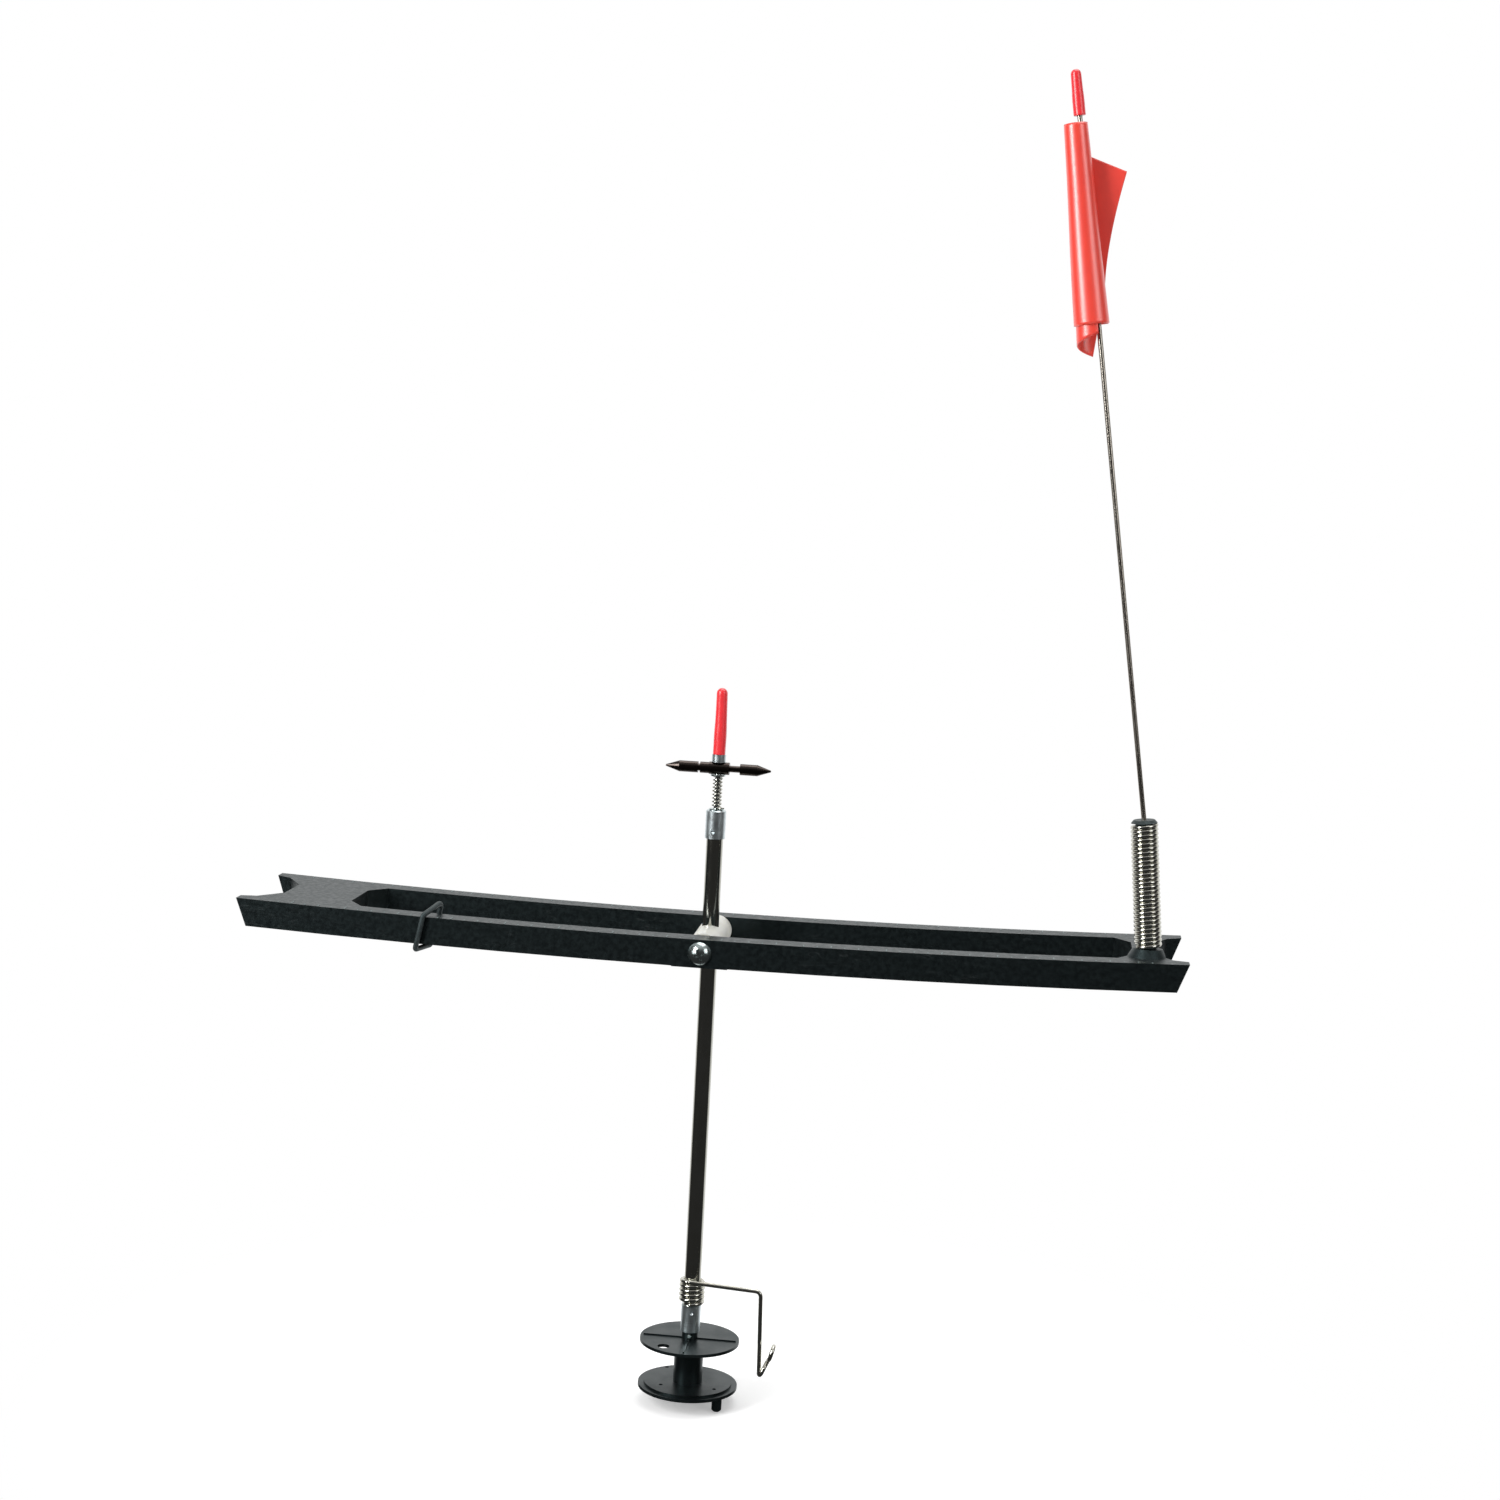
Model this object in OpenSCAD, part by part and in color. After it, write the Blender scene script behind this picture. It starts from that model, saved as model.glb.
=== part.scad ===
// Ice fishing tip-up: a frame that lies across the hole in the ice, a spindle in a tube that
// hangs into the water with the line spool, and a flag on a spring that is held down by the
// trip bar and stands up when a fish turns the spool.
// The origin is on the ice, midway between the rails and under the pivot. +X points to the
// flag, +Z up, and the rails lie along X.

/* [Frame] */
// Length over the tips of the rails
frame_l = 443; // [400:1:500]
// Width over both rails
frame_w = 76; // [70:0.5:90]
// Height of a rail
frame_h = 13.2; // [12:0.1:18]
// Width of one rail
rail_w = 11.8; // [10:0.1:14]
// How far the ends of the frame rise above its middle
frame_bow = 4.4; // [1:0.1:8]
// How much further the top of an end reaches than its foot
end_slant = 5; // [0:0.5:8]
// Distance from the middle of the frame to the pivot, towards the spool end
pivot_shift = 1.5; // [0:0.5:10]
// Depth of the notch in each end
notch_depth = 16; // [8:0.5:20]
// Width of the floor of a notch
notch_floor = 25; // [16:1:30]
// Length of the web at the plain end
web_long = 33.5; // [20:0.5:60]
// Length of the web at the flag end
web_short = 8.5; // [6:0.5:30]
// Thickness of the webs
web_t = 4.2; // [3:0.1:5]
// Width of the flat part of the slot's ends
slot_flat = 31; // [20:0.5:40]
// Length of the slot's corner chamfers
slot_chamfer = 7.6; // [2:0.1:12]
// Wall of the cored rails
rail_wall = 2.4; // [1.8:0.1:3.5]
// Skin left over the cores of the rails
rail_skin = 2.8; // [2:0.1:4]
// Spacing of the cores along a rail
core_pitch = 30; // [20:1:40]
// Half the length of the flat foot under the pivot
foot_half = 13; // [10:0.5:18]
// How far the flat feet stand below the rails
foot_step = 0.3; // [0.2:0.1:1]

/* [Pivot] */
// Diameter of the nylon barrel
barrel_d = 15; // [13.5:0.1:18]
// Gap between the barrel's end and the rail
barrel_gap = 0.3; // [0.1:0.05:1]
// Thread diameter of the pivot screws
screw_d = 3.4; // [3:0.1:4.5]
// Depth of the screws in the barrel
screw_grip = 11; // [6:0.5:16]
// Diameter of the screw heads
screw_head_d = 11; // [8:0.5:12.5]
// Height of the screw heads
screw_head_h = 3.2; // [2.5:0.1:4]

/* [Tube] */
// Outer diameter of the tube
tube_d = 7.94; // [7:0.01:9]
// Wall of the tube
tube_wall = 0.8; // [0.6:0.05:1.2]
// Height of the tube's upper end above the pivot
tube_up = 55.5; // [40:0.5:70]
// Depth of the tube's lower end below the pivot
tube_down = 185.6; // [150:0.2:190]
// Outer diameter of the bushings
bushing_d = 9.5; // [9:0.1:12]
// Length of a bushing
bushing_l = 13.5; // [10:0.5:20]
// How far a bushing reaches over the end of the tube
bushing_grip = 6.8; // [4:0.2:8]

/* [Spindle] */
// Diameter of the spindle
spindle_d = 2.8; // [2.4:0.1:3.2]
// Length of the trip bar
bar_l = 50; // [40:0.5:51.5]
// Diameter of the trip bar
bar_d = 5.3; // [4.5:0.1:6]
// Length of the cones at the ends of the trip bar
bar_cone = 6.5; // [3:0.5:9]
// Diameter of the neck in the trip bar
bar_neck_d = 3.1; // [2.5:0.1:4]
// Diameter of the collar over the trip bar
collar_d = 6.6; // [5.5:0.1:8]
// Height of the collar
collar_h = 3.6; // [2.5:0.1:6]
// Length of the soft cap on the spindle
cap_l = 31.5; // [20:0.5:40]
// Diameter of the soft cap at its mouth
cap_d = 6.2; // [5:0.1:8]
// Diameter of the soft cap at its tip
cap_tip_d = 5.3; // [4.4:0.1:6]

/* [Drag spring] */
// Free space that the drag spring fills
drag_l = 15.6; // [12:0.2:20]
// Wire of the drag spring
drag_wire = 0.7; // [0.5:0.05:0.8]
// Turns of the drag spring
drag_turns = 9; // [6:1:10]
// Diameter of the two thrust washers
washer_d = 7; // [5.5:0.1:9]
// Thickness of a thrust washer
washer_t = 0.6; // [0.4:0.1:1]

/* [Spool] */
// Diameter of the spool's flanges
spool_d = 48; // [40:0.5:50]
// Diameter of the core that the line is wound on
core_d = 14; // [10:0.5:20]
// Width of the line space between the flanges
line_space = 19.8; // [14:0.2:24]
// Thickness of a flange
flange_t = 1.5; // [1.2:0.1:2.5]
// Height of the hub over the upper flange
hub_h = 3.4; // [3.4:0.1:8]
// Diameter of the hub
hub_d = 7.6; // [6.5:0.1:9]
// Diameter of the hole that the line is tied through
line_hole_d = 5.8; // [3:0.1:7]
// Distance of that hole from the axis
line_hole_r = 18.2; // [15:0.1:19]
// Diameter of the crank knob
knob_d = 4.8; // [4:0.1:6]
// Length of the crank knob under the spool
knob_l = 7.2; // [6:0.2:14]
// Distance of the crank knob from the axis
knob_r = 19.5; // [16:0.1:20]

/* [Line guide] */
// Wire of the line guide
guide_wire = 1.8; // [1.4:0.1:1.8]
// Turns of the guide round the tube
guide_turns = 5; // [3:1:7]
// Reach of the guide's arm from the axis
guide_reach = 34; // [28:0.5:40]
// Drop of the guide's leg under its arm
guide_drop = 43; // [30:0.5:50]
// Middle radius of the guide's eye
eye_r = 3.4; // [3:0.1:5]

/* [Flag] */
// Distance of the flag spring from the middle of the frame, towards the front rail
flag_side = 19; // [17:0.5:20]
// Distance of the flag spring from the flag end of the frame
flag_inset = 18.2; // [16:0.2:20]
// Outer diameter of the flag spring
spring_d = 12.8; // [11:0.1:14]
// Wire of the flag spring
spring_wire = 1.6; // [1.2:0.1:1.7]
// Length of the flag spring
spring_l = 58; // [50:1:70]
// Turns of the flag spring
spring_turns = 27; // [20:1:28]
// Lean of the spring away from upright
spring_lean = 5.6; // [0:0.2:8]
// Lean of the staff away from upright
staff_lean = 9; // [4:0.2:12]
// Diameter of the staff
staff_d = 2.3; // [1.8:0.1:2.8]
// Length of the staff above the spring
staff_l = 335; // [300:1:360]
// Height of the boss that the spring stands on
boss_h = 3.8; // [2:0.1:6]
// Diameter of the boss at its foot
boss_d = 20.4; // [16:0.2:24]
// Height of the rolled flag on the staff
flag_h = 89; // [60:1:110]
// Radius of the roll at its upper end
roll_top_r = 4.3; // [4:0.1:6]
// Radius of the roll at its lower end
roll_foot_r = 7.8; // [5:0.1:9]
// Thickness of the flag's sheet
sheet_t = 0.8; // [0.5:0.1:0.8]
// Reach of the loose corner beyond the roll
flap_reach = 15; // [5:0.5:18]
// Length of the staff's soft cap
tip_l = 20.5; // [12:0.5:30]
// Diameter of the staff's soft cap
tip_d = 5.5; // [4.5:0.1:7]

/* [Rubber band] */
// Thickness of the band's cord
band_d = 2.5; // [2:0.1:3]
// Distance of the band from the pivot
band_x = 129.5; // [60:0.5:150]
// How far the loose band stands up over the rail's inner edge
band_slack = 3.2; // [0.6:0.1:6]
// Room under the rail inside the band
band_gap = 0.8; // [0.7:0.1:2]

/* [Fits] */
// Radial clearance where one part turns or slides in another
run_gap = 0.08; // [0.04:0.01:0.1]
// Radial clearance where parts are fixed together
fix_gap = 0.03; // [0.02:0.01:0.05]
// Gap between faces that pass each other
face_gap = 0.1; // [0.05:0.05:0.3]
// Gap between a coiled wire and what it is coiled round
coil_gap = 0.3; // [0.2:0.05:0.6]

/* [Hidden] */

// Fineness of the round parts, and of the two long arcs of the frame
$fn = 64;
arc_fn = 2400;
// Reach of a cutting shape past what it cuts
over = 1;

// Frame: arcs through the middle and the raised ends, about one centre above it
half_l = frame_l / 2;
foot_arc_r = half_l * half_l / (2 * frame_bow) + frame_bow / 2;
mid_x = pivot_shift;
left_x = mid_x - half_l;
right_x = mid_x + half_l;
rail_in = frame_w / 2 - rail_w;
slot_left = left_x + notch_depth + web_long;
slot_right = right_x - notch_depth - web_short;
notch_mouth = frame_w - 2 * 7;
notch_step = 9;
notch_side = frame_w - 2 * 10.5;
pivot_z = frame_h / 2;

// Height of the bowed frame above its lowest point at a place along X
function rise(x) = foot_arc_r - sqrt(foot_arc_r * foot_arc_r - (x - mid_x) * (x - mid_x));

// Spindle stack, as heights above the ice
tube_top = pivot_z + tube_up;
tube_foot = pivot_z - tube_down;
bushing_top = tube_top - bushing_grip + bushing_l;
bushing_foot = tube_foot + bushing_grip - bushing_l;
spring_foot = bushing_top + washer_t;
spring_top = spring_foot + drag_l;
bar_hub_d = bar_d + 0.6;
bar_z = spring_top + washer_t + face_gap + bar_hub_d / 2;
collar_z = bar_z + bar_hub_d / 2;
cap_z = collar_z + collar_h;
hub_top = bushing_foot - face_gap;
flange_top = hub_top - hub_h;
base_top = flange_top - flange_t - line_space;
base_step = 1;
base_foot = base_top - base_step - flange_t;
plateau_r = spool_d / 2 - 2.8;
nut_t = 1;
nut_d = 8.4;
pin_d = 2.4;
pin_z = flange_top + hub_h / 2 + 0.2;
small_hole_d = 2;
drag_r = spindle_d / 2 + 0.25 + drag_wire / 2;
knob_turn = -35.4;
line_hole_turn = -126;
rib_w = 0.8;
rib_h = 0.6;

// Line guide: its coil stands on the lower bushing
guide_pitch = guide_wire + 0.45;
guide_r = tube_d / 2 + coil_gap + guide_wire / 2;
guide_foot = tube_foot + bushing_grip + face_gap + guide_wire / 2;
guide_top = guide_foot + guide_turns * guide_pitch;
guide_out = -guide_r - 2.5;
hook_z = guide_top - guide_drop;

// Flag: the spring stands on a boss and leans towards the plain end
flag_x = right_x - flag_inset;
flag_y = -flag_side;
boss_z = frame_h + rise(flag_x) - 1.5;
spring_z = frame_h + rise(flag_x) + boss_h;
spring_r = (spring_d - spring_wire) / 2;
peg_d = 2 * (spring_r * cos(180 / 8) - spring_wire / 2 - coil_gap);
peg_h = 13;
staff_x = flag_x - sin(spring_lean) * spring_l;
staff_z = spring_z + cos(spring_lean) * spring_l;
plug_cap_t = 1.4;
plug_l = 12;
staff_in_plug = 9;
tip_s = staff_l - 16;
flag_top_s = tip_s - 3.3;
flag_foot_s = flag_top_s - flag_h;
flag_tail = 14;
roll_turns = 570;
layer_gap = 1.35;

// Route of the rubber band round one rail, and its skew along the rail per millimetre of
// height and of width
band_y = frame_w / 2 - rail_w / 2;
band_lean = 0.2;
band_yaw = 0.28;

// ---- Wires ------------------------------------------------------------------------------

function unit(v) = v / norm(v);
function tangent(p, i) = unit(p[min(i + 1, len(p) - 1)] - p[max(i - 1, 0)]);
// The part of a direction that is square to a tangent
function squared(n, t) = unit(n - (n * t) * t);
// Side directions carried along a path without twist
function sides_along(p, first) =
    [for (i = 0, n = squared(first, tangent(p, 0)); i < len(p);
          n = squared(n, tangent(p, min(i + 1, len(p) - 1))), i = i + 1) n];

// Rings of points round a path
function rings(p, side, r, sides) =
    [for (i = [0 : len(p) - 1], k = [0 : sides - 1])
        let (t = tangent(p, i), a = 360 * k / sides)
        p[i] + r * (cos(a) * side[i] + sin(a) * cross(t, side[i]))];

// Triangles between two rings that start at points a and b
function band_faces(a, b, sides) =
    [for (k = [0 : sides - 1]) let (m = (k + 1) % sides)
        each [[a + k, b + m, a + m], [a + k, b + k, b + m]]];

// An open wire along a path, as one closed solid
module wire(p, d, first, sides = 6) {
    side = sides_along(p, first);
    last = (len(p) - 1) * sides;
    polyhedron(
        points = rings(p, side, d / 2, sides),
        faces = concat(
            [for (i = [0 : len(p) - 2]) each band_faces(i * sides, (i + 1) * sides, sides)],
            [for (k = [1 : sides - 2]) [0, k, k + 1]],
            [for (k = [1 : sides - 2]) [last, last + k + 1, last + k]]));
}

// A coil of wire that rises along +Z, with an end of one wire diameter run straight
function coil(r, z0, z1, turns, steps, straight, from = 0) =
    let (n = turns * steps,
         turn = [for (i = [0 : n]) let (a = from + 360 * i / steps)
                    [r * cos(a), r * sin(a), z0 + (z1 - z0) * i / n]],
         head = unit(turn[n] - turn[n - 1]),
         foot = unit(turn[0] - turn[1]))
    concat([turn[0] + straight * foot], turn, [turn[n] + straight * head]);

// Least gap of a coil to its own next turn, measured between points of the path
function coil_least_gap(p, steps, d) =
    min([for (i = [0 : len(p) - 1 - steps + 2], j = [-2 : 2])
            let (k = i + steps + j) if (k < len(p)) norm(p[k] - p[i])]) - d;

// A corner of a bent wire, rounded over a length on both sides
function bend(a, c, b, reach, steps = 5) =
    let (p = c + reach * unit(a - c), q = c + reach * unit(b - c))
    [for (i = [0 : steps]) let (t = i / steps)
        (1 - t) * (1 - t) * p + 2 * t * (1 - t) * c + t * t * q];

// ---- Frame ------------------------------------------------------------------------------

// The space between two arcs that follow the bow, from one height to another
module bowed_band(low, high) {
    translate([mid_x, 0, foot_arc_r])
        rotate([90, 0, 0])
            difference() {
                cylinder(r = foot_arc_r - low, h = frame_w + 4 * over, center = true, $fn = arc_fn);
                cylinder(r = foot_arc_r - high, h = frame_w + 6 * over, center = true, $fn = arc_fn);
            }
}

// Outline of the notch at an end, drawn at the origin with its mouth towards -X
module notch() {
    polygon([
        [-over, -notch_mouth / 2], [notch_depth - notch_step, -notch_side / 2],
        [notch_depth, -notch_floor / 2], [notch_depth, notch_floor / 2],
        [notch_depth - notch_step, notch_side / 2], [-over, notch_mouth / 2]]);
}

module slot() {
    polygon([
        [slot_left, -slot_flat / 2], [slot_left + slot_chamfer, -rail_in],
        [slot_right - slot_chamfer, -rail_in], [slot_right, -slot_flat / 2],
        [slot_right, slot_flat / 2], [slot_right - slot_chamfer, rail_in],
        [slot_left + slot_chamfer, rail_in], [slot_left, slot_flat / 2]]);
}

module frame_plan() {
    difference() {
        translate([left_x, -frame_w / 2]) square([frame_l, frame_w]);
        translate([left_x, 0]) notch();
        translate([right_x, 0]) mirror([1, 0]) notch();
        slot();
    }
}

// Wedge that slants one end of the frame, drawn for the end at +X
module end_cut() {
    translate([half_l, 0, frame_h + frame_bow])
        rotate([0, atan(end_slant / frame_h), 0])
            translate([0, -frame_w / 2 - over, -4 * frame_h])
                cube([2 * frame_h, frame_w + 2 * over, 8 * frame_h]);
}

// Cores in the underside of one rail, clear of the pivot
module rail_cores() {
    cores = floor((half_l - notch_depth) / core_pitch);
    for (k = [-cores : cores], side = [-1, 1])
        let (x = k * core_pitch)
            if (abs(x) - core_pitch / 2 > foot_half - rail_wall / 2)
                translate([x - core_pitch / 2 + rail_wall / 2,
                           side * (frame_w - rail_w) / 2 - rail_w / 2 + rail_wall, -over])
                    cube([core_pitch - rail_wall, rail_w - 2 * rail_wall,
                          frame_h + frame_bow + over]);
}

// Hollow under a web, walled off from the notch and the slot
module web_hollow(from, to) {
    translate([from + rail_wall, -rail_in, -over])
        cube([to - from - 2 * rail_wall, 2 * rail_in, frame_h + frame_bow + over]);
}

module frame() {
    color("#1a1d1f")
    difference() {
        union() {
            intersection() {
                linear_extrude(height = 2 * (frame_h + frame_bow)) frame_plan();
                bowed_band(foot_step, frame_h);
            }
            for (side = [-1, 1])
                translate([-foot_half, side * (frame_w - rail_w) / 2 - rail_w / 2, 0])
                    cube([2 * foot_half, rail_w, frame_h / 2]);
            intersection() {
                translate([flag_x, flag_y, boss_z])
                    cylinder(d1 = boss_d, d2 = spring_d + 0.6, h = spring_z - boss_z);
                linear_extrude(height = 2 * spring_z) frame_plan();
            }
            translate([flag_x, flag_y, spring_z])
                rotate([0, -spring_lean, 0])
                    translate([0, 0, -2]) cylinder(d = peg_d, h = peg_h + 2);
        }
        intersection() {
            rail_cores();
            bowed_band(-2 * over, frame_h - rail_skin);
        }
        intersection() {
            web_hollow(left_x + notch_depth, slot_left);
            bowed_band(-2 * over, frame_h - web_t);
        }
        translate([mid_x, 0, 0]) {
            end_cut();
            mirror([1, 0, 0]) end_cut();
        }
        translate([0, 0, pivot_z])
            rotate([90, 0, 0])
                cylinder(d = screw_d + 2 * run_gap, h = frame_w + 2 * over, center = true);
    }
}

// A loose loop of round cord round the front rail: close to the rail's outer face and
// underside, and standing up in a round bend over its inner edge
module rubber_band() {
    w = rail_w / 2 + face_gap + band_d / 2;
    h = frame_h / 2 + face_gap + band_d / 2;
    corner = band_d / 2 + face_gap;
    wide = corner + band_slack / 3;
    steps = 5;
    loop = [for (c = [[w - wide + band_slack / 3, h - wide + band_slack, 0, wide],
                      [corner - w, h - corner, 90, corner],
                      [corner - w, corner - h - band_gap, 180, corner],
                      [w - corner, corner - h - band_gap, 270, corner]], i = [0 : steps])
        let (a = c[2] + 90 * i / steps,
             y = c[0] + c[3] * cos(a),
             z = c[1] + c[3] * sin(a))
        [-band_x + band_lean * z + band_yaw * y, y - band_y, z + frame_h / 2 + rise(-band_x)]];
    n = len(loop);
    sides = 8;
    color("#202222")
    polyhedron(
        points = [for (i = [0 : n - 1], k = [0 : sides - 1])
            let (t = unit(loop[(i + 1) % n] - loop[(i + n - 1) % n]),
                 s = squared([1, 0, 0], t), a = 360 * k / sides)
            loop[i] + band_d / 2 * (cos(a) * s + sin(a) * cross(t, s))],
        faces = [for (i = [0 : n - 1]) each band_faces(i * sides, (i + 1) % n * sides, sides)]);
}

// ---- Pivot ------------------------------------------------------------------------------

module pivot_barrel() {
    color("#eeeee6")
    translate([0, 0, pivot_z])
        difference() {
            rotate([90, 0, 0])
                cylinder(d = barrel_d, h = 2 * (rail_in - barrel_gap), center = true);
            cylinder(d = tube_d + 2 * fix_gap, h = barrel_d + 2 * over, center = true);
            for (side = [-1, 1])
                translate([0, side * (rail_in - barrel_gap + over), 0])
                    rotate([side * 90, 0, 0])
                        cylinder(d = screw_d + 2 * fix_gap, h = screw_grip + 2 * over);
        }
}

// One pan-head screw, drawn with its head's seat at the origin and its point towards -Z
module pan_screw(length) {
    dome_r = screw_head_d / 2 * 1.15;
    slot_w = 1.3;
    slot_l = 5.4;
    slot_depth = 1.4;
    translate([0, 0, -length]) cylinder(d = screw_d, h = length + over / 2);
    difference() {
        intersection() {
            cylinder(d = screw_head_d, h = screw_head_h);
            translate([0, 0, screw_head_h - dome_r]) sphere(r = dome_r);
        }
        for (turn = [20, 110])
            rotate([0, 0, turn])
                translate([-slot_l / 2, -slot_w / 2, screw_head_h - slot_depth])
                    cube([slot_l, slot_w, slot_depth + over]);
    }
}

module pivot_screws() {
    color("#cfd4d6")
    for (side = [-1, 1])
        translate([0, side * (frame_w / 2 + face_gap), pivot_z])
            rotate([-side * 90, 0, 0])
                pan_screw(rail_w + barrel_gap + screw_grip);
}

// ---- Tube -------------------------------------------------------------------------------

module tube() {
    color("#b9bcb8")
    translate([0, 0, tube_foot])
        difference() {
            cylinder(d = tube_d, h = tube_top - tube_foot);
            translate([0, 0, -over])
                cylinder(d = tube_d - 2 * tube_wall, h = tube_top - tube_foot + 2 * over);
        }
}

// A turned bushing, drawn with its outer end up and the tube's seat below
module bushing() {
    edge = 0.5;
    seat_r = tube_d / 2 + fix_gap;
    bore_r = spindle_d / 2 + run_gap;
    dimple_r = 1.1;
    difference() {
        rotate_extrude()
            polygon([
                [seat_r, -bushing_grip], [bushing_d / 2, -bushing_grip],
                [bushing_d / 2, bushing_l - bushing_grip - edge],
                [bushing_d / 2 - edge, bushing_l - bushing_grip],
                [bore_r, bushing_l - bushing_grip], [bore_r, face_gap], [seat_r, face_gap]]);
        for (turn = [-100, 80])
            rotate([0, 0, turn])
                translate([bushing_d / 2 + dimple_r / 3, 0, -bushing_grip / 2])
                    sphere(r = dimple_r, $fn = 24);
    }
}

module top_bushing() {
    color("#d5d9dc") translate([0, 0, tube_top]) bushing();
}

module bottom_bushing() {
    color("#d5d9dc") translate([0, 0, tube_foot]) rotate([180, 0, 0]) bushing();
}

// ---- Spindle ----------------------------------------------------------------------------

module thrust_washer(bore_gap) {
    difference() {
        cylinder(d = washer_d, h = washer_t);
        translate([0, 0, -over]) cylinder(r = spindle_d / 2 + bore_gap, h = washer_t + 2 * over);
    }
}

module lower_washer() {
    color("#c4c8ca") translate([0, 0, bushing_top]) thrust_washer(run_gap);
}

module upper_washer() {
    color("#c4c8ca") translate([0, 0, spring_top]) thrust_washer(run_gap);
}

module drag_spring() {
    steps = 8;
    half = drag_wire / 2 + face_gap / 2;
    p = coil(drag_r / cos(180 / steps), spring_foot + half, spring_top - half, drag_turns,
             steps, drag_wire);
    echo(drag_spring_least_gap = coil_least_gap(p, steps, drag_wire));
    color("#c9ccca") wire(p, drag_wire, [0, 0, 1]);
}

module spindle() {
    foot = base_foot - nut_t - 0.6;
    top = cap_z + cap_l - 6;
    color("#bfc3c4")
    difference() {
        translate([0, 0, foot]) cylinder(d = spindle_d, h = top - foot);
        translate([0, 0, pin_z])
            rotate([90, 0, 0])
                cylinder(d = pin_d + 2 * fix_gap, h = 2 * hub_d, center = true, $fn = 32);
    }
}

// The trip bar is turned: two cones, a groove on one arm, a neck on the other
module trip_bar() {
    r = bar_d / 2;
    hub_half = 4.3;
    groove_at = 8.6;
    groove_w = 1;
    groove_r = 1.7;
    neck_end = 10.4;
    tip_r = 0.4;
    color("#2b2724")
    translate([0, 0, bar_z])
        difference() {
            rotate([0, 90, 0])
                rotate_extrude()
                    polygon([
                        [0, -bar_l / 2], [tip_r, -bar_l / 2], [r, -bar_l / 2 + bar_cone],
                        [r, -groove_at - groove_w], [groove_r, -groove_at - groove_w],
                        [groove_r, -groove_at], [r, -groove_at], [r, -hub_half],
                        [bar_hub_d / 2, -hub_half], [bar_hub_d / 2, hub_half + 1],
                        [bar_neck_d / 2, hub_half + 1], [bar_neck_d / 2, neck_end],
                        [r, neck_end], [r, bar_l / 2 - bar_cone], [tip_r, bar_l / 2],
                        [0, bar_l / 2]]);
            cylinder(d = spindle_d + 2 * fix_gap, h = 2 * bar_hub_d, center = true);
        }
}

module trip_collar() {
    color("#d5d9dc")
    translate([0, 0, collar_z])
        difference() {
            cylinder(d = collar_d, h = collar_h);
            translate([0, 0, -over])
                cylinder(d = spindle_d + 2 * fix_gap, h = collar_h + 2 * over);
        }
}

// A dipped soft cap with a round end, over a rod of a given diameter
module soft_cap(length, mouth_d, end_d, rod_d, depth) {
    difference() {
        union() {
            cylinder(d1 = mouth_d, d2 = end_d, h = length - end_d / 2);
            translate([0, 0, length - end_d / 2]) sphere(d = end_d);
        }
        translate([0, 0, -over]) cylinder(d = rod_d + 2 * fix_gap, h = depth + over);
    }
}

module spindle_cap() {
    color("#d92a35")
    translate([0, 0, cap_z]) soft_cap(cap_l, cap_d, cap_tip_d, spindle_d, cap_l - 5.5);
}

// ---- Spool ------------------------------------------------------------------------------

module spool() {
    color("#1d2224")
    difference() {
        union() {
            translate([0, 0, flange_top - flange_t]) cylinder(d = spool_d, h = flange_t);
            translate([0, 0, flange_top]) cylinder(d = hub_d, h = hub_h);
            translate([0, 0, base_top]) cylinder(d = core_d, h = line_space + flange_t / 2);
            for (turn = [0 : 90 : 270])
                rotate([0, 0, turn])
                    translate([0, -rib_w / 2, flange_top - flange_t / 2])
                        cube([spool_d / 2 - 1.5, rib_w, flange_t / 2 + rib_h]);
        }
        translate([0, 0, base_foot])
            cylinder(d = spindle_d + 2 * fix_gap, h = hub_top - base_foot + over);
        translate([0, 0, pin_z])
            rotate([90, 0, 0]) cylinder(d = pin_d + 2 * fix_gap, h = 2 * hub_d, center = true);
        rotate([0, 0, line_hole_turn])
            translate([line_hole_r, 0, flange_top - flange_t - over])
                cylinder(d = line_hole_d, h = flange_t + 2 * over);
    }
}

// A rolled spring pin through the hub and the spindle
module spool_pin() {
    wall = 0.45;
    slit = 0.6;
    color("#cfd4d6")
    translate([0, 0, pin_z])
        rotate([90, 0, 0])
            difference() {
                cylinder(d = pin_d, h = hub_d, center = true, $fn = 32);
                cylinder(d = pin_d - 2 * wall, h = hub_d + 2 * over, center = true, $fn = 32);
                translate([0, -slit / 2, -hub_d]) cube([pin_d, slit, 2 * hub_d]);
            }
}

module spool_base() {
    color("#1d2224")
    difference() {
        union() {
            translate([0, 0, base_foot]) cylinder(d = spool_d, h = flange_t);
            translate([0, 0, base_foot + flange_t / 2])
                cylinder(r = plateau_r, h = base_top - base_foot - flange_t / 2);
        }
        translate([0, 0, base_foot - over])
            cylinder(d = spindle_d + 2 * fix_gap, h = base_top - base_foot + 2 * over);
        for (place = [[20, 128], [14.8, 217], [16.6, 328]])
            rotate([0, 0, place[1]])
                translate([place[0] * plateau_r / 21.2, 0, base_foot - over])
                    cylinder(d = small_hole_d, h = base_top - base_foot + 2 * over, $fn = 24);
        rotate([0, 0, knob_turn])
            translate([knob_r, 0, base_foot - over])
                cylinder(d = knob_d / 2 + 2 * fix_gap, h = flange_t / 2 + 2 * over);
    }
}

module push_nut() {
    color("#c4c8ca")
    translate([0, 0, base_foot - nut_t])
        difference() {
            union() {
                cylinder(d = nut_d, h = nut_t);
                translate([0, 0, -0.5]) cylinder(d1 = nut_d / 2, d2 = nut_d * 0.75, h = 0.6);
            }
            translate([0, 0, -over])
                cylinder(d = spindle_d + 2 * fix_gap, h = nut_t + 2 * over);
        }
}

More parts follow.
